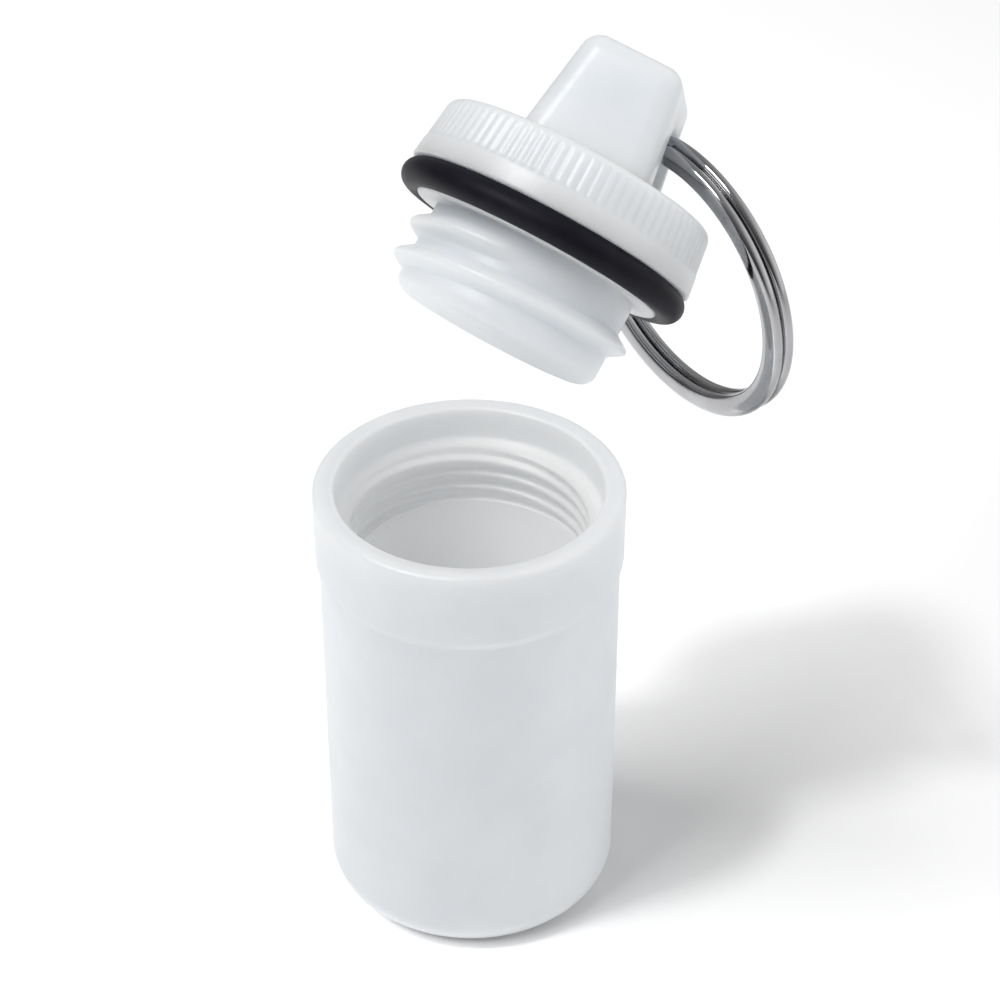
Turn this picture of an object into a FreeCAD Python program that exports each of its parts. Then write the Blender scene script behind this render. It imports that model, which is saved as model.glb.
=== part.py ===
import FreeCAD, Part

import math
import os

# A keychain pill case: a round screw-top tube, shown with its cap taken off and
# held tilted above the mouth. Millimetres, +Z up, origin at the centre of the foot.

V = FreeCAD.Vector
UP = V(0, 0, 1)
ORIGIN = V(0, 0, 0)

# Screw thread: one round ridge on the plug, two starts in the mouth, one lead for both
plug_thread_diameter = 20.4
plug_ridge_height = 1.25
thread_lead = 2.78
thread_engagement = 0.28
thread_clearance = 0.3
plug_ridge_upper_flank = 1.3
plug_ridge_lower_flank = 0.85
plug_ridge_crest = 0.3
mouth_ridge_foot = 1.0
mouth_ridge_crest = 0.34
mouth_thread_starts = 2
sections_per_turn = 16
thread_sunk = 0.3
thread_run_out_rate = 7.0

# Seal ring and its seat
seal_thickness = 2.5
seal_fit = 0.06
seal_seat_share = 0.8
seal_sides = 16

# Container
container_height = 41.0
collar_height = 7.2
mouth_step_width = 0.7
mouth_step_depth = 2.85
mouth_ledge_height = 0.55
mouth_thread_length = 5.2
rim_width = 1.8
rim_bevel = 0.3
rim_inner_bevel = 0.15
collar_draft = 0.08
collar_step = 0.3
body_draft = 0.18
foot_round = 2.9
floor_thickness = 2.6
bore_draft = 0.3
bore_foot_bevel = 1.1

# Cap: flange, plug and lug, in the cap's own frame with z = 0 at the flange's underside
flange_height = 5.55
flange_setback = 0.19
flange_taper = 0.72
flange_top_round = 0.9
grip_band_height = 1.9
rib_count = 84
rib_groove_depth = 0.16
rib_groove_width = 0.5
rib_top_land = 0.05
rib_cut_outside = 0.3
plug_length = 10.0
plug_end_round = 1.3
plug_ridge_start = 3.3
plug_ridge_turns = 1.72
plug_ridge_start_angle = 20.0
lug_width_foot = 11.4
lug_width_top = 8.5
lug_depth_foot = 13.6
lug_depth_top = 12.6
lug_height = 9.6
lug_shift = 0.55
lug_edge_round = 1.9
lug_top_round = 1.8
lug_foot_round = 0.5

# Slot through the lug's corner, and the split ring hanging in it
slot_azimuth = 46.4
slot_offset = 4.0
slot_play = 0.2
slot_bow_room = 0.65
slot_height = 6.2
slot_arch_round = 1.3
ring_diameter = 25.4
wire_width = 1.7
wire_thickness = 0.98
coil_gap = 0.04
wire_edge_break = 0.2
jog_half_angle = 12.0
jog_azimuth = 135.0
ring_seat_rise = 4.6
ring_side_shift = -1.5
ring_droop = 38.5

# How the taken-off cap is held above the mouth
cap_lift = 20.1
cap_reach = 9.94
cap_azimuth = 49.05
cap_tilt = 45.88
cap_spin = -16.47

# Radii that follow
plug_crest_radius = plug_thread_diameter / 2
plug_root_radius = plug_crest_radius - plug_ridge_height
mouth_root_radius = plug_crest_radius + thread_clearance
bore_radius = plug_crest_radius - thread_engagement
mouth_step_radius = mouth_root_radius + mouth_step_width
rim_radius = mouth_step_radius + rim_width
collar_foot_radius = rim_radius - collar_draft
body_top_radius = collar_foot_radius - collar_step
body_foot_radius = body_top_radius - body_draft
seal_tube_radius = seal_thickness / 2
seal_mean_radius = plug_crest_radius + seal_fit + seal_tube_radius
flange_foot_radius = seal_mean_radius + seal_tube_radius - flange_setback
flange_top_radius = flange_foot_radius - flange_taper
ring_mean_radius = (ring_diameter - wire_width) / 2
ring_thickness = 2 * wire_thickness + coil_gap


def turned(outline):
    """Solid of revolution about Z from a closed list of edges in the XZ plane."""
    return Part.Face(Part.Wire(outline)).revolve(ORIGIN, UP, 360)


def point(radius, height):
    return V(radius, 0, height)


def line(start, end):
    return Part.LineSegment(start, end).toShape()


def closed(points):
    """Straight edges through the points and back to the first."""
    return [line(a, b) for a, b in zip(points, points[1:] + points[:1])]


def circle_edges(shape, radius, height):
    """The round edges of this radius at this height."""
    found = []
    for edge in shape.Edges:
        if isinstance(edge.Curve, Part.Circle):
            same_radius = abs(edge.Curve.Radius - radius) < 1e-4
            if same_radius and abs(edge.Curve.Center.z - height) < 1e-4:
                found.append(edge)
    return found


def thread_ridge(root_radius, height, foot, crest, lean, bottom, turns, start_angle):
    """Right-hand ridge lofted through rising sections, run out at both ends into its root.

    A negative height makes it stand inward from a bore. Lean is the upper flank's share of the foot.
    """
    steps = int(round(turns * sections_per_turn))
    outward = 1 if height > 0 else -1
    sunk_radius = root_radius - outward * thread_sunk
    widened = 1 + thread_sunk / abs(height)
    upper = (foot * lean - crest / 2) * widened + crest / 2
    lower = (foot * (1 - lean) - crest / 2) * widened + crest / 2
    wires = []
    for step in range(steps + 1):
        turned_by = turns * step / steps
        fade = min(1.0, thread_run_out_rate * min(turned_by, turns - turned_by) - 0.1)
        z = bottom + thread_lead * turned_by
        tip = root_radius + height * fade
        section = [point(sunk_radius, z - lower), point(tip, z - crest / 2),
                   point(tip, z + crest / 2), point(sunk_radius, z + upper)]
        wire = Part.Wire(closed(section))
        wire.rotate(ORIGIN, UP, start_angle + 360 * turned_by)
        wires.append(wire)
    ridge = Part.makeLoft(wires, True, False)
    if ridge.Volume < 0:
        ridge.reverse()
    return ridge


def container_outside():
    top = container_height
    collar_foot = top - collar_height
    outline = closed([point(0, 0), point(body_foot_radius, 0), point(body_top_radius, collar_foot),
                      point(collar_foot_radius, collar_foot), point(rim_radius, top), point(0, top)])
    body = turned(outline)
    body = body.makeFillet(foot_round, circle_edges(body, body_foot_radius, 0))
    return body.makeChamfer(rim_bevel, circle_edges(body, rim_radius, top))


def container_bore():
    """Counterbore, ledge, thread relief and the long smooth bore, as one turned plug."""
    top = container_height
    ledge = top - mouth_step_depth
    thread_top = ledge - mouth_ledge_height
    thread_foot = thread_top - mouth_thread_length
    over = top + 1.0
    foot_radius = bore_radius - bore_draft
    outline = closed([point(0, floor_thickness), point(foot_radius, floor_thickness),
                      point(bore_radius, thread_foot), point(mouth_root_radius, thread_foot),
                      point(mouth_root_radius, thread_top), point(mouth_step_radius, ledge),
                      point(mouth_step_radius, over), point(0, over)])
    bore = turned(outline)
    return bore.makeChamfer(bore_foot_bevel, circle_edges(bore, foot_radius, floor_thickness))


def mouth_thread():
    """Two ridges standing inward in the thread relief, run out at its two ends."""
    thread_top = container_height - mouth_step_depth - mouth_ledge_height
    thread_foot = thread_top - mouth_thread_length
    turns = (mouth_thread_length - mouth_ridge_foot) / thread_lead
    height = bore_radius - mouth_root_radius
    ridges = []
    for start in range(mouth_thread_starts):
        ridges.append(thread_ridge(mouth_root_radius, height, mouth_ridge_foot, mouth_ridge_crest, 0.5,
                                   thread_foot + mouth_ridge_foot / 2, turns,
                                   360 * start / mouth_thread_starts))
    return ridges


def container():
    body = container_outside().cut(container_bore())
    inner_rim = circle_edges(body, mouth_step_radius, container_height)
    body = body.makeChamfer(rim_inner_bevel, inner_rim)
    return body.fuse(mouth_thread())


def flange():
    top = flange_height
    outline = closed([point(0, 0), point(flange_foot_radius, 0), point(flange_top_radius, top), point(0, top)])
    body = turned(outline)
    return body.makeFillet(flange_top_round, circle_edges(body, flange_top_radius, top))


def rib_grooves():
    """Shallow V grooves up the flange's cone, from the smooth band to the foot of the top round."""
    slope = flange_taper / flange_height
    rise = flange_height - flange_top_round - rib_top_land - grip_band_height
    surface = flange_foot_radius - slope * grip_band_height
    valley = surface - rib_groove_depth
    half = rib_groove_width / 2 * (1 + rib_cut_outside / rib_groove_depth)
    corners = [V(valley, 0, grip_band_height), V(surface + rib_cut_outside, half, grip_band_height),
               V(surface + rib_cut_outside, -half, grip_band_height)]
    groove = Part.Face(Part.Wire(closed(corners))).extrude(V(-slope * rise, 0, rise))
    grooves = []
    for index in range(rib_count):
        copy = groove.copy()
        copy.rotate(ORIGIN, UP, 360 * index / rib_count)
        grooves.append(copy)
    return Part.makeCompound(grooves)


def plug():
    seat_depth = seal_thickness * seal_seat_share
    outline = closed([point(0, -plug_length), point(plug_root_radius, -plug_length),
                      point(plug_root_radius, -seat_depth), point(plug_crest_radius, -seat_depth),
                      point(plug_crest_radius, 0.5), point(0, 0.5)])
    body = turned(outline)
    body = body.makeFillet(plug_end_round, circle_edges(body, plug_root_radius, -plug_length))
    foot = plug_ridge_upper_flank + plug_ridge_lower_flank
    bottom = -plug_ridge_start - thread_lead * plug_ridge_turns
    ridge = thread_ridge(plug_root_radius, plug_ridge_height, foot, plug_ridge_crest,
                         plug_ridge_upper_flank / foot, bottom, plug_ridge_turns, plug_ridge_start_angle)
    return body.fuse(ridge)


def lug_block():
    """Tapered block with rounded edges, standing on the flange."""
    block = Part.makeWedge(-lug_width_foot / 2, 0, -lug_depth_foot / 2, -lug_depth_top / 2, -lug_width_top / 2,
                           lug_width_foot / 2, lug_height, lug_depth_foot / 2, lug_depth_top / 2,
                           lug_width_top / 2)
    block.rotate(ORIGIN, V(1, 0, 0), 90)
    upright = [e for e in block.Edges if abs(e.BoundBox.ZMax - e.BoundBox.ZMin) > lug_height / 2]
    block = block.makeFillet(lug_edge_round, upright)
    rim = [e for e in block.Edges if e.BoundBox.ZMin > lug_height - 0.01]
    block = block.makeFillet(lug_top_round, rim)
    block.translate(V(lug_shift, 0, flange_height))
    return block


def wire_reach():
    """Half of the wound wire's diagonal: what it sweeps as it swings in the slot."""
    return math.hypot(wire_width, ring_thickness) / 2


def lug_slot():
    """Arched slot across the lug's corner, open on two faces, down to the flange."""
    half = wire_reach() + slot_play
    inner = slot_offset - half - slot_bow_room / 2
    outer = slot_offset + half + slot_bow_room
    length = lug_width_foot + lug_depth_foot
    slot = Part.makeBox(outer - inner, length, slot_height, V(inner, -length / 2, flange_height))
    arch = [e for e in slot.Edges if e.BoundBox.ZMin > flange_height + slot_height - 0.01
            and e.BoundBox.YLength > length / 2]
    slot = slot.makeFillet(slot_arch_round, arch)
    slot.rotate(ORIGIN, UP, slot_azimuth)
    return slot


def cap_moulding():
    """The whole cap in its own frame."""
    grip = flange().cut(rib_grooves())
    body = grip.fuse(lug_block())
    foot_edges = []
    for edge in body.Edges:
        box = edge.BoundBox
        flat = box.ZLength < 0.01 and abs(box.ZMin - flange_height) < 0.01
        if flat and max(abs(box.XMax), abs(box.XMin)) < lug_width_foot / 2 + 0.1:
            foot_edges.append(edge)
    body = body.makeFillet(lug_foot_round, foot_edges)
    body = body.cut(lug_slot())
    return body.fuse(plug()).removeSplitter()


def seal():
    """Round-section ring, turned from a section with many short sides."""
    middle = -seal_tube_radius - seal_fit / 2
    section = []
    for side in range(seal_sides):
        angle = 2 * math.pi * side / seal_sides
        section.append(point(seal_mean_radius + seal_tube_radius * math.cos(angle),
                             middle + seal_tube_radius * math.sin(angle)))
    return turned(closed(section))


def wire_section(offset):
    """Flat-wire section with broken edges in the XZ plane, its middle raised by the offset."""
    left = ring_mean_radius - wire_width / 2
    right = ring_mean_radius + wire_width / 2
    low = offset - wire_thickness / 2
    high = offset + wire_thickness / 2
    b = wire_edge_break
    return Part.Wire(closed([point(right - b, low), point(right, low + b), point(right, high - b),
                             point(right - b, high), point(left + b, high), point(left, high - b),
                             point(left, low + b), point(left + b, low)]))


def split_ring():
    """Two flat coils side by side, joined by one short jog where the wire steps across."""
    step = (wire_thickness + coil_gap) / 2
    coils = []
    for offset, start in ((-step, jog_half_angle), (step, jog_half_angle)):
        face = Part.Face(wire_section(offset))
        face.rotate(ORIGIN, UP, start)
        coils.append(face.revolve(ORIGIN, UP, 360 - 2 * jog_half_angle))
    wires = []
    pieces = 4
    for index in range(pieces + 1):
        share = index / pieces
        rise = step * math.sin(math.pi * (share - 0.5))
        wire = wire_section(rise)
        wire.rotate(ORIGIN, UP, -jog_half_angle + 2 * jog_half_angle * share)
        wires.append(wire)
    ring = coils[0].fuse([Part.makeLoft(wires, True, False), coils[1]])
    ring.rotate(ORIGIN, UP, jog_azimuth)
    return ring


def ring_in_slot():
    """Placement of the ring in the cap's frame: highest point in the slot, drooping outward."""
    droop = math.radians(ring_droop)
    seat = V(slot_offset, ring_side_shift, flange_height + ring_seat_rise)
    centre = seat + V(math.cos(droop), 0, -math.sin(droop)) * ring_mean_radius
    hang = FreeCAD.Placement(centre, FreeCAD.Rotation(V(0, 1, 0), ring_droop))
    turn = FreeCAD.Placement(ORIGIN, FreeCAD.Rotation(UP, slot_azimuth))
    return turn.multiply(hang)


def cap_placement():
    """The cap's frame as it is held: spun, tilted outward and lifted off the mouth."""
    azimuth = math.radians(cap_azimuth)
    place = V(cap_reach * math.cos(azimuth), cap_reach * math.sin(azimuth), container_height + cap_lift)
    tilt = FreeCAD.Rotation(V(-math.sin(azimuth), math.cos(azimuth), 0), cap_tilt)
    return FreeCAD.Placement(place, tilt.multiply(FreeCAD.Rotation(UP, cap_spin)))


def placed(shape, placement):
    shape = shape.copy()
    shape.Placement = placement.multiply(shape.Placement)
    return shape


def main():
    os.makedirs("parts", exist_ok=True)
    held = cap_placement()
    nodes = {
        "container": container(),
        "cap": placed(cap_moulding(), held),
        "seal_ring": placed(seal(), held),
        "key_ring": placed(split_ring(), held.multiply(ring_in_slot())),
    }
    for name, shape in nodes.items():
        shape.exportStep(os.path.join("parts", name + ".step"))
        print(name, "solids", len(shape.Solids), "valid", shape.isValid(), "volume", round(shape.Volume, 1))


main()
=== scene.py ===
import math

import bmesh
import bpy
from mathutils import Matrix, Vector


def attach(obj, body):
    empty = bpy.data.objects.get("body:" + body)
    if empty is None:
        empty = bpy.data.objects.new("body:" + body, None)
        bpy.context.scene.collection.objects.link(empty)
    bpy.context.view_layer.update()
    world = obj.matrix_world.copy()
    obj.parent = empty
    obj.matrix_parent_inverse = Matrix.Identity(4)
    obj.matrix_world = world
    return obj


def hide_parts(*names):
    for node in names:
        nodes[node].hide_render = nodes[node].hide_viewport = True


# A screw-top tube of translucent white plastic, its cap held off above the mouth

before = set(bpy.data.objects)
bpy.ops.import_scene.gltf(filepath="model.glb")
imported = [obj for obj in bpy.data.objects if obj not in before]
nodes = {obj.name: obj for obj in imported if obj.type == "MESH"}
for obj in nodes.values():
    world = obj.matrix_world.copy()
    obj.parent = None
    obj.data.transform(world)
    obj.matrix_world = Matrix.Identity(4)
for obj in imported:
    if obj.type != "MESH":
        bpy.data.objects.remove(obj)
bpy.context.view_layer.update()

mm = 0.001
around = 256

# How near two points count as one, a vertex as on an edge, and a vertex as on a wall
weld_distance = 0.002
edge_match = 0.004
wall_match = 0.01

# Camera: the photograph's viewing angle
camera_place = (0.00253, -0.20675, 0.18878)
camera_pitch = 54.17
camera_lens = 111.0

# Container, in millimetres from the centre of its foot
foot_radius = 12.44
body_top_radius = 12.62
collar_foot_radius = 12.93
collar_foot = 34.3
collar_slope = 0.6
rim_radius = 13.0
rim_height = 41.0
mouth_step_radius = 11.2
ledge_height = 38.15
mouth_root_radius = 10.5
mouth_thread_top = 37.6
mouth_thread_foot = 32.4
bore_radius = 9.92
bore_foot_radius = 9.62
floor_height = 2.6

# Screw thread
thread_lead = 2.78
mouth_starts = 2
mouth_ridge_foot = 1.0
mouth_ridge_crest = 0.34
mouth_ridge_run_out = 0.5
thread_row = 0.1
plug_root_radius = 8.95
plug_ridge_height = 1.25
plug_ridge_start = 4.0
plug_ridge_turns = 1.72
plug_ridge_start_angle = 20.0
plug_ridge_upper_flank = 1.0
plug_ridge_lower_flank = 0.9
plug_ridge_crest = 0.12
plug_ridge_fades_per_turn = 7.0

# Cap, in its own frame with z = 0 at the underside of its flange
flange_foot_radius = 12.57
flange_top_radius = 11.85
flange_height = 5.55
flange_slope = (flange_foot_radius - flange_top_radius) / flange_height
flange_core_overlap = 0.6
flange_row = 0.15
flange_row_start = 0.3
flange_row_margin = 1.05
grip_band_height = 1.9
rib_count = 84
rib_depth = 0.15
rib_set_back = 0.06
rib_sharpness = 1.6
rib_skin = 1.0
rib_foot_margin = 0.05
rib_foot_lead = 0.12
rib_foot_run_out = 0.3
rib_top_margin = 0.25
rib_top_run_out = 0.5
steps_per_rib = 6
seat_depth = 2.45
seat_radius = 10.85
seat_margin = 0.05
plug_length = 10.0
plug_row_top = 0.2
plug_row_foot = 1.35
plug_overlap = 0.3
lug_seam = 0.001
lug_cut = 0.03
lug_flatness = 0.6
lug_skirt = 0.4
cap_lift = 61.1
cap_reach = 9.94
cap_azimuth = 49.05
cap_tilt = 45.88
cap_spin = -16.47

# Seal ring
seal_mean_radius = 11.51
seal_tube_radius = 1.25
seal_drop = 1.18
seal_sides = 48
seal_steps = 224

# Split ring
slot_azimuth = 46.4
ring_seat = (4.0, -1.5, 10.15)
ring_droop = 38.5
ring_mean_radius = 11.9
wire_width = 1.95
wire_thickness = 1.14
wire_fullness = 0.8
wire_sides = 28
coil_steps = 150
jog_steps = 12
jog_half_angle = 12.0
jog_azimuth = 180.0

# Edge rounds: how wide, and how many faces across
foot_round = (2.9, 10)
collar_round = (0.28, 4)
rim_round = (0.45, 6)
mouth_edge_round = (0.22, 4)
ledge_round = (0.2, 3)
bore_top_round = (0.12, 3)
bore_foot_round = (1.6, 8)
flange_foot_round = (0.25, 4)
flange_top_round = (0.9, 8)
plug_tip_round = (1.25, 8)
seat_round = (0.25, 4)

# Studio, in metres and watts
sky_right = 1.25
sky_top = 0.25
sky_back = 0.25
sky_low = 0.06
key_aim = (0.0, 0.0, 0.03)
broad_place = (-0.40, -0.12, 0.50)
broad_size = (0.6, 0.2)
broad_power = 4.3
small_place = (-0.21, -0.115, 0.60)
small_size = (0.06, 0.06)
small_power = 1.25
cap_key_place = (-0.22, -0.16, 0.60)
cap_key_power = 2.5
tube_key_place = (-0.24, -0.10, 0.58)
tube_key_power = 2.4
piece_key_size = (0.25, 0.25)
floor_half_width = 1.5

# A Mix node's colour sockets
mix_first, mix_second, mix_result = 6, 7, 2


def cap_frame():
    azimuth = math.radians(cap_azimuth)
    place = Vector((cap_reach * math.cos(azimuth), cap_reach * math.sin(azimuth), cap_lift))
    lean = Vector((-math.sin(azimuth), math.cos(azimuth), 0))
    return (Matrix.Translation(place) @ Matrix.Rotation(math.radians(cap_tilt), 4, lean)
            @ Matrix.Rotation(math.radians(cap_spin), 4, "Z"))


def in_metres(matrix):
    """A placing matrix in millimetres as one for a mesh in metres."""
    to_metres = Matrix.Diagonal((mm, mm, mm, 1))
    return to_metres @ matrix @ to_metres.inverted()


def ring_frame():
    droop = math.radians(ring_droop)
    centre = Vector(ring_seat) + Vector((math.cos(droop), 0, -math.sin(droop))) * ring_mean_radius
    return (cap_frame() @ Matrix.Rotation(math.radians(slot_azimuth), 4, "Z")
            @ Matrix.Translation(centre) @ Matrix.Rotation(droop, 4, "Y"))


def make_camera():
    data = bpy.data.cameras.new("camera")
    data.lens = camera_lens
    data.sensor_width = 36.0
    data.clip_start = 0.01
    data.clip_end = 20.0
    camera = bpy.data.objects.new("camera", data)
    camera.location = camera_place
    camera.rotation_euler = (math.radians(camera_pitch), 0, 0)
    bpy.context.scene.collection.objects.link(camera)
    bpy.context.scene.camera = camera


def add(tree, kind, **values):
    node = tree.nodes.new(kind)
    for name, value in values.items():
        setattr(node, name, value)
    return node


def area_light(name, place, size, power):
    data = bpy.data.lights.new(name, "AREA")
    data.shape = "RECTANGLE"
    data.size, data.size_y = size
    data.energy = power
    lamp = bpy.data.objects.new(name, data)
    lamp.location = place
    lamp.rotation_mode = "QUATERNION"
    lamp.rotation_quaternion = (Vector(key_aim) - Vector(place)).to_track_quat("-Z", "Y")
    bpy.context.scene.collection.objects.link(lamp)
    return lamp


def group_of(name, pieces):
    group = bpy.data.collections.new(name)
    for piece in pieces:
        group.objects.link(piece)
    return group


def light_only(lamps, pieces, shaded_by=None):
    """These lamps light these pieces alone; with shaded_by, only those pieces cast their shadows."""
    for lamp in lamps:
        lamp.light_linking.receiver_collection = group_of(lamp.name + " lit", pieces)
        if shaded_by:
            lamp.light_linking.blocker_collection = group_of(lamp.name + " shaders", shaded_by)


def number(tree, operation, first, second, third=None):
    node = add(tree, "ShaderNodeMath", operation=operation)
    for socket, value in zip(node.inputs, (first, second, third)):
        if isinstance(value, (int, float)):
            socket.default_value = value
        elif value is not None:
            tree.links.new(value, socket)
    return node.outputs["Value"]


def make_light():
    """A pale studio, brightest from the right, one lamp for the cap, one for the tube, two for the floor."""
    world = bpy.data.worlds.new("studio")
    world.use_nodes = True
    tree = world.node_tree
    sky = tree.nodes["Background"]
    sky.inputs["Color"].default_value = (1.0, 1.0, 1.0, 1.0)
    where = add(tree, "ShaderNodeTexCoord")
    split = add(tree, "ShaderNodeSeparateXYZ")
    tree.links.new(where.outputs["Generated"], split.inputs["Vector"])
    x, y, z = (split.outputs[name] for name in "XYZ")
    right = number(tree, "MAXIMUM", x, 0.0)
    glow = number(tree, "MULTIPLY_ADD", number(tree, "MULTIPLY", right, right), sky_right, sky_low)
    glow = number(tree, "MULTIPLY_ADD", number(tree, "MAXIMUM", z, 0.0), sky_top, glow)
    glow = number(tree, "MULTIPLY_ADD", number(tree, "MAXIMUM", y, 0.0), sky_back, glow)
    tree.links.new(glow, sky.inputs["Strength"])
    bpy.context.scene.world = world
    bpy.context.scene.view_settings.view_transform = "Standard"
    floor_keys = [area_light("broad floor key", broad_place, broad_size, broad_power),
                  area_light("small floor key", small_place, small_size, small_power)]
    cap_key = area_light("cap key", cap_key_place, piece_key_size, cap_key_power)
    tube_key = area_light("tube key", tube_key_place, piece_key_size, tube_key_power)
    return floor_keys, cap_key, tube_key


def start_material(name, color, roughness):
    material = bpy.data.materials.new(name)
    material.use_nodes = True
    shader = material.node_tree.nodes["Principled BSDF"]
    shader.inputs["Base Color"].default_value = (*color, 1.0)
    shader.inputs["Roughness"].default_value = roughness
    return material, material.node_tree, shader


def object_noise(tree, scale, detail, roughness=0.5):
    place = add(tree, "ShaderNodeTexCoord")
    noise = add(tree, "ShaderNodeTexNoise")
    noise.inputs["Scale"].default_value = scale
    noise.inputs["Detail"].default_value = detail
    noise.inputs["Roughness"].default_value = roughness
    tree.links.new(place.outputs["Object"], noise.inputs["Vector"])
    return noise.outputs["Fac"]


def ramp(tree, source, low, high, start=0.35, end=0.65):
    """A blend from one colour to another as the source rises from start to end."""
    node = add(tree, "ShaderNodeValToRGB")
    node.color_ramp.elements[0].position = start
    node.color_ramp.elements[1].position = end
    node.color_ramp.elements[0].color = (*low, 1.0)
    node.color_ramp.elements[1].color = (*high, 1.0)
    tree.links.new(source, node.inputs["Fac"])
    return node.outputs["Color"]


def spread(tree, source, low, high):
    """The source's middle range stretched from low to high."""
    node = add(tree, "ShaderNodeMapRange")
    node.inputs["From Min"].default_value = 0.3
    node.inputs["From Max"].default_value = 0.7
    node.inputs["To Min"].default_value = low
    node.inputs["To Max"].default_value = high
    tree.links.new(source, node.inputs["Value"])
    return node.outputs["Result"]


def bump(tree, shader, source, strength, distance):
    node = add(tree, "ShaderNodeBump")
    node.inputs["Strength"].default_value = strength
    node.inputs["Distance"].default_value = distance
    tree.links.new(source, node.inputs["Height"])
    tree.links.new(node.outputs["Normal"], shader.inputs["Normal"])


def painted_inner_glow(tree, color):
    """Paints light into the colour: a paler white on the walls nearer the axis than the outer skin, a
    painted glow standing in for light that passes through the walls.
    """
    where = add(tree, "ShaderNodeTexCoord")
    flat = add(tree, "ShaderNodeVectorMath", operation="MULTIPLY")
    flat.inputs[1].default_value = (1.0, 1.0, 0.0)
    reach = add(tree, "ShaderNodeVectorMath", operation="LENGTH")
    tree.links.new(where.outputs["Object"], flat.inputs[0])
    tree.links.new(flat.outputs["Vector"], reach.inputs[0])
    share = number(tree, "MULTIPLY", reach.outputs["Value"], 1.0 / (rim_radius * mm))
    mix = add(tree, "ShaderNodeMix", data_type="RGBA")
    tree.links.new(ramp(tree, share, (0, 0, 0), (1, 1, 1), start=0.82, end=0.9), mix.inputs["Factor"])
    # painted light: the paler white given to the inner walls
    mix.inputs[mix_first].default_value = (0.965, 0.975, 0.98, 1.0)
    tree.links.new(color, mix.inputs[mix_second])
    return mix.outputs[mix_result]


def white_plastic(name, with_painted_glow):
    material, tree, shader = start_material(name, (0.77, 0.795, 0.82), 0.38)
    cloud = object_noise(tree, scale=130.0, detail=4.0)
    color = ramp(tree, cloud, (0.75, 0.775, 0.80), (0.79, 0.815, 0.84))
    # painted light: the walls inside the bore are coloured paler, as if lit through the walls
    if with_painted_glow:
        color = painted_inner_glow(tree, color)
    tree.links.new(color, shader.inputs["Base Color"])
    grain = object_noise(tree, scale=2600.0, detail=4.0, roughness=0.6)
    tree.links.new(spread(tree, grain, 0.30, 0.44), shader.inputs["Roughness"])
    bump(tree, shader, grain, strength=0.15, distance=0.00005)
    shader.inputs["Subsurface Weight"].default_value = 0.85
    shader.inputs["Subsurface Radius"].default_value = (0.0042, 0.0045, 0.0048)
    shader.inputs["Subsurface Scale"].default_value = 1.0
    shader.inputs["Specular IOR Level"].default_value = 0.5
    return material


def black_rubber():
    material, tree, shader = start_material("black rubber", (0.008, 0.008, 0.012), 0.3)
    cloud = object_noise(tree, scale=300.0, detail=4.0)
    color = ramp(tree, cloud, (0.006, 0.006, 0.010), (0.011, 0.011, 0.017))
    tree.links.new(color, shader.inputs["Base Color"])
    tree.links.new(spread(tree, cloud, 0.42, 0.54), shader.inputs["Roughness"])
    bump(tree, shader, object_noise(tree, scale=900.0, detail=3.0), strength=0.1, distance=0.00004)
    shader.inputs["Specular IOR Level"].default_value = 0.1
    return material


def ring_metal():
    material, tree, shader = start_material("bright ring metal", (0.40, 0.40, 0.41), 0.12)
    shader.inputs["Metallic"].default_value = 1.0
    cloud = object_noise(tree, scale=260.0, detail=4.0)
    color = ramp(tree, cloud, (0.36, 0.36, 0.37), (0.44, 0.44, 0.45))
    tree.links.new(color, shader.inputs["Base Color"])
    tree.links.new(spread(tree, cloud, 0.06, 0.16), shader.inputs["Roughness"])
    return material


def linked(name, bm, material):
    """The finished mesh as a smooth-shaded object at the origin."""
    bmesh.ops.recalc_face_normals(bm, faces=bm.faces[:])
    for face in bm.faces:
        face.smooth = True
    mesh = bpy.data.meshes.new(name)
    bm.to_mesh(mesh)
    bm.free()
    mesh.materials.append(material)
    piece = bpy.data.objects.new(name, mesh)
    bpy.context.scene.collection.objects.link(piece)
    return piece


def spun(bm, steps):
    """Everything in the mesh so far, spun once about Z and joined to itself."""
    bmesh.ops.spin(bm, geom=bm.verts[:] + bm.edges[:], cent=(0, 0, 0), axis=(0, 0, 1), dvec=(0, 0, 0),
                   angle=math.tau, steps=steps, use_merge=True, use_normal_flip=False,
                   use_duplicate=False)


def turned(outline, steps):
    """A shell spun about Z from (radius, height) points; its poles are closed."""
    bm = bmesh.new()
    line = [bm.verts.new((radius * mm, 0, height * mm)) for radius, height in outline]
    for first, second in zip(line, line[1:]):
        bm.edges.new((first, second))
    spun(bm, steps)
    bmesh.ops.remove_doubles(bm, verts=bm.verts[:], dist=weld_distance * mm)
    return bm


def round_edge(bm, radius, height, edge_round):
    """Rounds the circular edge at this radius and height."""
    size, segments = edge_round
    found = []
    for edge in bm.edges:
        if all(abs(math.hypot(v.co.x, v.co.y) - radius * mm) < edge_match * mm
               and abs(v.co.z - height * mm) < edge_match * mm for v in edge.verts):
            found.append(edge)
    bmesh.ops.bevel(bm, geom=found, offset=size * mm, offset_type="OFFSET", segments=segments,
                    profile=0.5, affect="EDGES", material=-1)


def push_out(bm, amount):
    """Moves each vertex out from the axis by amount(radius, angle, height), in millimetres."""
    for vert in bm.verts:
        radius = math.hypot(vert.co.x, vert.co.y) / mm
        if radius > 0.1:
            shift = amount(radius, math.atan2(vert.co.y, vert.co.x), vert.co.z / mm)
            scale = (radius + shift) / radius
            vert.co.x *= scale
            vert.co.y *= scale


def smooth_step(value):
    value = max(0.0, min(1.0, value))
    return value * value * (3 - 2 * value)


def rows(top, bottom, radius, step):
    count = int(round((top - bottom) / step))
    return [(radius, top + (bottom - top) * index / count) for index in range(1, count)]


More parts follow.
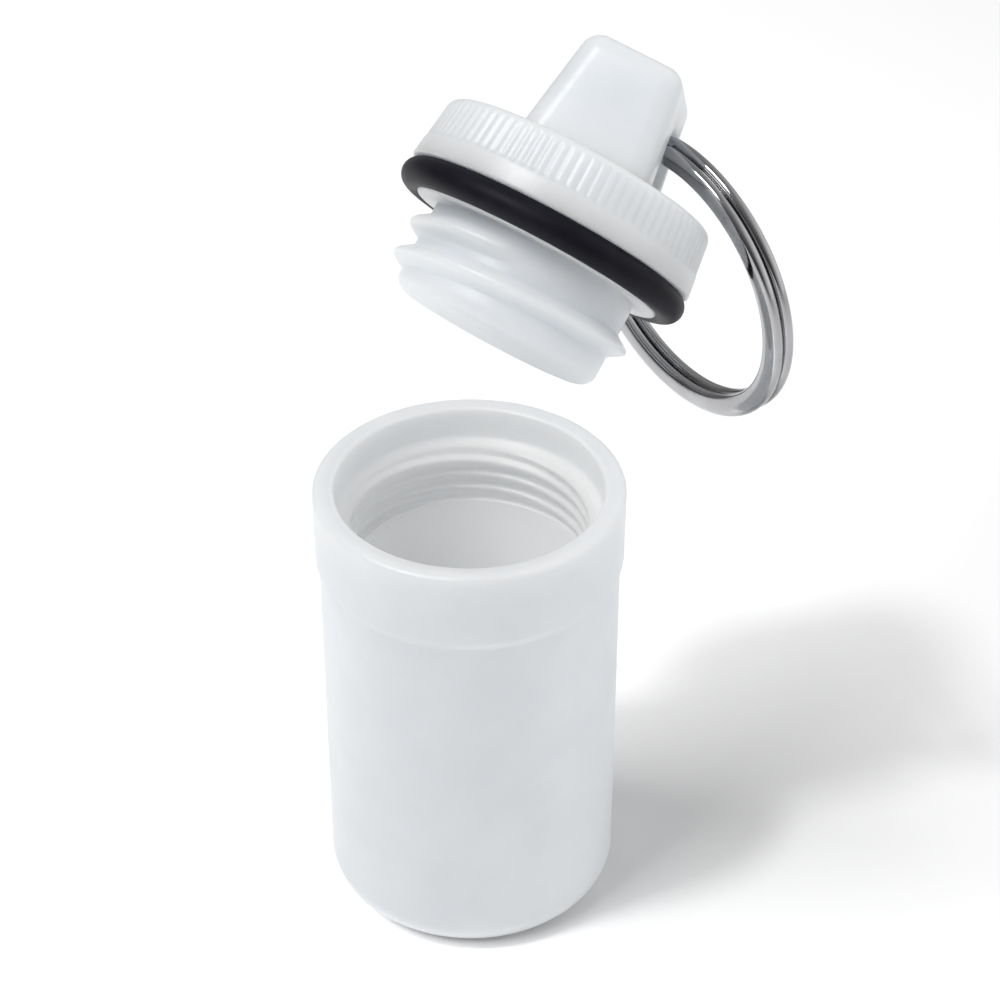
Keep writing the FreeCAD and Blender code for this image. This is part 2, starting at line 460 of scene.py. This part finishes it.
def mouth_ridges(radius, angle, height):
    """Two low ridges that wind down the mouth's relief and fade at both ends."""
    in_relief = mouth_thread_foot - wall_match < height < mouth_thread_top + wall_match
    if not (in_relief and abs(radius - mouth_root_radius) < wall_match):
        return 0.0
    pitch = thread_lead / mouth_starts
    along = (height - mouth_thread_foot - mouth_ridge_foot / 2) / pitch - angle / math.tau * mouth_starts
    off = abs(along - round(along)) * pitch
    flank = (mouth_ridge_foot - mouth_ridge_crest) / 2
    rise = smooth_step((mouth_ridge_foot / 2 - off) / flank)
    fade = (smooth_step((height - mouth_thread_foot) / mouth_ridge_run_out)
            * smooth_step((mouth_thread_top - height) / mouth_ridge_run_out))
    return -(mouth_root_radius - bore_radius) * rise * fade


def make_container(material):
    outline = [(0, 0), (foot_radius, 0), (body_top_radius, collar_foot - collar_slope),
               (collar_foot_radius, collar_foot), (rim_radius, rim_height), (mouth_step_radius, rim_height),
               (mouth_step_radius, ledge_height), (mouth_root_radius, mouth_thread_top)]
    outline += rows(mouth_thread_top, mouth_thread_foot, mouth_root_radius, thread_row)
    outline += [(mouth_root_radius, mouth_thread_foot), (bore_radius, mouth_thread_foot),
                (bore_foot_radius, floor_height), (0, floor_height)]
    bm = turned(outline, around)
    push_out(bm, mouth_ridges)
    round_edge(bm, foot_radius, 0, foot_round)
    round_edge(bm, body_top_radius, collar_foot - collar_slope, collar_round)
    round_edge(bm, collar_foot_radius, collar_foot, collar_round)
    round_edge(bm, rim_radius, rim_height, rim_round)
    round_edge(bm, mouth_step_radius, rim_height, mouth_edge_round)
    round_edge(bm, mouth_step_radius, ledge_height, ledge_round)
    round_edge(bm, bore_radius, mouth_thread_foot, bore_top_round)
    round_edge(bm, bore_foot_radius, floor_height, bore_foot_round)
    piece = linked("container_tube", bm, material)
    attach(piece, "container")
    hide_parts("container")
    return piece


def flange_ribs(radius, angle, height):
    """Fine upright ribs round the flange, above its smooth band."""
    inside = flange_foot_radius - flange_slope * height - radius
    if height < rib_foot_margin or height > flange_height or inside > rib_skin:
        return 0.0
    start = smooth_step((height - grip_band_height + rib_foot_lead) / rib_foot_run_out)
    end = smooth_step((flange_height - rib_top_margin - height) / rib_top_run_out)
    wave = 0.5 - 0.5 * math.cos(angle * rib_count)
    return -(rib_set_back + rib_depth * wave ** rib_sharpness) * start * end


def make_flange():
    outline = [(0, -flange_core_overlap), (seat_radius, -flange_core_overlap), (seat_radius, 0.0),
               (flange_foot_radius, 0)]
    height = flange_row_start
    while height < flange_height - flange_row_margin:
        height += flange_row
        outline.append((flange_foot_radius - flange_slope * height, height))
    outline += [(flange_top_radius, flange_height), (0, flange_height)]
    bm = turned(outline, rib_count * steps_per_rib)
    round_edge(bm, flange_foot_radius, 0, flange_foot_round)
    round_edge(bm, flange_top_radius, flange_height, flange_top_round)
    push_out(bm, flange_ribs)
    return bm


def plug_ridge(radius, angle, height):
    """One high ridge winding up the plug right-handed, its two flanks and crest rounded off."""
    if abs(radius - plug_root_radius) > wall_match or height > -seat_depth - seat_margin:
        return 0.0
    bottom = -plug_ridge_start - thread_lead * plug_ridge_turns
    start = math.radians(plug_ridge_start_angle)
    lift = 0.0
    for turn in range(-1, 3):
        wound = (angle - start) / math.tau + turn
        if 0 <= wound <= plug_ridge_turns:
            off = height - (bottom + thread_lead * wound)
            flank = plug_ridge_upper_flank if off > 0 else plug_ridge_lower_flank
            slope = max(0.0, min(1.0, (flank + plug_ridge_crest - abs(off)) / flank))
            fade = smooth_step(min(wound, plug_ridge_turns - wound) * plug_ridge_fades_per_turn)
            lift = max(lift, plug_ridge_height * fade * (slope + smooth_step(slope)) / 2)
    return lift


def make_plug():
    threaded = rows(-seat_depth - plug_row_top, -plug_length + plug_row_foot, plug_root_radius, thread_row)
    outline = [(0, -plug_length), (plug_root_radius, -plug_length)]
    outline += [(radius, height) for radius, height in reversed(threaded)]
    outline += [(plug_root_radius, -seat_depth), (seat_radius, -seat_depth), (seat_radius, plug_overlap),
                (0, plug_overlap)]
    bm = turned(outline, around)
    push_out(bm, plug_ridge)
    round_edge(bm, plug_root_radius, -plug_length, plug_tip_round)
    round_edge(bm, seat_radius, -seat_depth, seat_round)
    return bm


def make_lug():
    """The solid's own faces above the flange, with their seams closed and a skirt let into the flange."""
    bm = bmesh.new()
    bm.from_mesh(nodes["cap"].data)
    bmesh.ops.remove_doubles(bm, verts=bm.verts[:], dist=lug_seam * mm)
    bmesh.ops.transform(bm, matrix=in_metres(cap_frame()).inverted(), verts=bm.verts[:])
    cut = flange_height + lug_cut
    bmesh.ops.bisect_plane(bm, geom=bm.verts[:] + bm.edges[:] + bm.faces[:], dist=1e-9,
                           plane_co=(0, 0, cut * mm), plane_no=(0, 0, 1), clear_inner=True)
    bmesh.ops.dissolve_limit(bm, angle_limit=math.radians(lug_flatness), verts=bm.verts[:],
                             edges=bm.edges[:], use_dissolve_boundaries=False)
    rim = [e for e in bm.edges if e.is_boundary]
    sunk = bmesh.ops.extrude_edge_only(bm, edges=rim)
    low = [v for v in sunk["geom"] if isinstance(v, bmesh.types.BMVert)]
    bmesh.ops.translate(bm, vec=(0, 0, -lug_skirt * mm), verts=low)
    bmesh.ops.holes_fill(bm, edges=[e for e in bm.edges if e.is_boundary], sides=0)
    return bm


def merged(parts):
    """Several shells as one mesh, in the order given."""
    whole = bmesh.new()
    for part in parts:
        mesh = bpy.data.meshes.new("part")
        bmesh.ops.recalc_face_normals(part, faces=part.faces[:])
        part.to_mesh(mesh)
        part.free()
        whole.from_mesh(mesh)
        bpy.data.meshes.remove(mesh)
    return whole


def place(bm, matrix):
    bmesh.ops.transform(bm, matrix=in_metres(matrix), verts=bm.verts[:])


def make_cap(material):
    bm = merged([make_flange(), make_plug(), make_lug()])
    place(bm, cap_frame())
    piece = linked("cap_moulding", bm, material)
    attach(piece, "cap")
    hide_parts("cap")
    return piece


def upright(bm):
    """Stands a section drawn in the XY plane up in the XZ plane."""
    bmesh.ops.rotate(bm, cent=(0, 0, 0), matrix=Matrix.Rotation(math.radians(90), 3, "X"),
                     verts=bm.verts[:])


def swung(bm, degrees):
    bmesh.ops.rotate(bm, cent=(0, 0, 0), matrix=Matrix.Rotation(math.radians(degrees), 3, "Z"),
                     verts=bm.verts[:])


def make_seal(material):
    bm = bmesh.new()
    bmesh.ops.create_circle(bm, cap_ends=False, segments=seal_sides, radius=seal_tube_radius * mm)
    upright(bm)
    bmesh.ops.translate(bm, vec=(seal_mean_radius * mm, 0, -seal_drop * mm), verts=bm.verts[:])
    spun(bm, seal_steps)
    place(bm, cap_frame())
    piece = linked("seal_loop", bm, material)
    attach(piece, "seal_carrier")
    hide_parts("seal_ring")
    return piece


def wind(bm, geometry, turn, rise, steps):
    """Sweeps the last section on round the ring, and returns the new last section."""
    swept = bmesh.ops.spin(bm, geom=geometry, cent=(0, 0, 0), axis=(0, 0, 1),
                           dvec=(0, 0, rise * mm / steps), angle=math.radians(turn), steps=steps,
                           use_merge=False, use_normal_flip=False, use_duplicate=False)
    return swept["geom_last"]


def make_key_ring(material):
    """One wire with an oval section: a coil, the jog across to the next, and a second coil."""
    bm = bmesh.new()
    bmesh.ops.create_circle(bm, cap_ends=True, segments=wire_sides, radius=0.5)
    for vert in bm.verts:
        vert.co.x = math.copysign(abs(2 * vert.co.x) ** wire_fullness / 2, vert.co.x)
        vert.co.y = math.copysign(abs(2 * vert.co.y) ** wire_fullness / 2, vert.co.y)
    bmesh.ops.scale(bm, vec=(wire_width * mm, wire_thickness * mm, 1), verts=bm.verts[:])
    upright(bm)
    bmesh.ops.translate(bm, vec=(ring_mean_radius * mm, 0, -wire_thickness / 2 * mm), verts=bm.verts[:])
    swung(bm, jog_half_angle)
    section = bm.faces[:] + bm.edges[:] + bm.verts[:]
    coil = 360 - 2 * jog_half_angle
    section = wind(bm, section, coil, 0, coil_steps)
    section = wind(bm, section, 2 * jog_half_angle, wire_thickness, jog_steps)
    section = wind(bm, section, coil, 0, coil_steps)
    swung(bm, jog_azimuth)
    place(bm, ring_frame())
    piece = linked("split_ring", bm, material)
    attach(piece, "key_ring")
    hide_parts("key_ring")
    return piece


def make_floor():
    bm = bmesh.new()
    bmesh.ops.create_grid(bm, x_segments=1, y_segments=1, size=floor_half_width)
    material, tree, shader = start_material("pale floor", (0.93, 0.93, 0.935), 0.08)
    cloud = object_noise(tree, scale=3.0, detail=2.0)
    color = ramp(tree, cloud, (0.93, 0.93, 0.933), (0.94, 0.94, 0.943))
    tree.links.new(color, shader.inputs["Base Color"])
    shader.inputs["Specular IOR Level"].default_value = 0.8
    floor = linked("floor", bm, material)
    return floor


make_camera()
floor_keys, cap_key, tube_key = make_light()
# the tube's inner walls get a painted glow, paler than the outer skin
tube_plastic = white_plastic("milky tube plastic", with_painted_glow=True)
tube = make_container(tube_plastic)
cap_plastic = white_plastic("milky cap plastic", with_painted_glow=False)
cap_pieces = [make_cap(cap_plastic), make_seal(black_rubber()), make_key_ring(ring_metal())]
light_only(floor_keys, [make_floor()])
light_only([cap_key], cap_pieces)
light_only([tube_key], [tube], shaded_by=[tube])
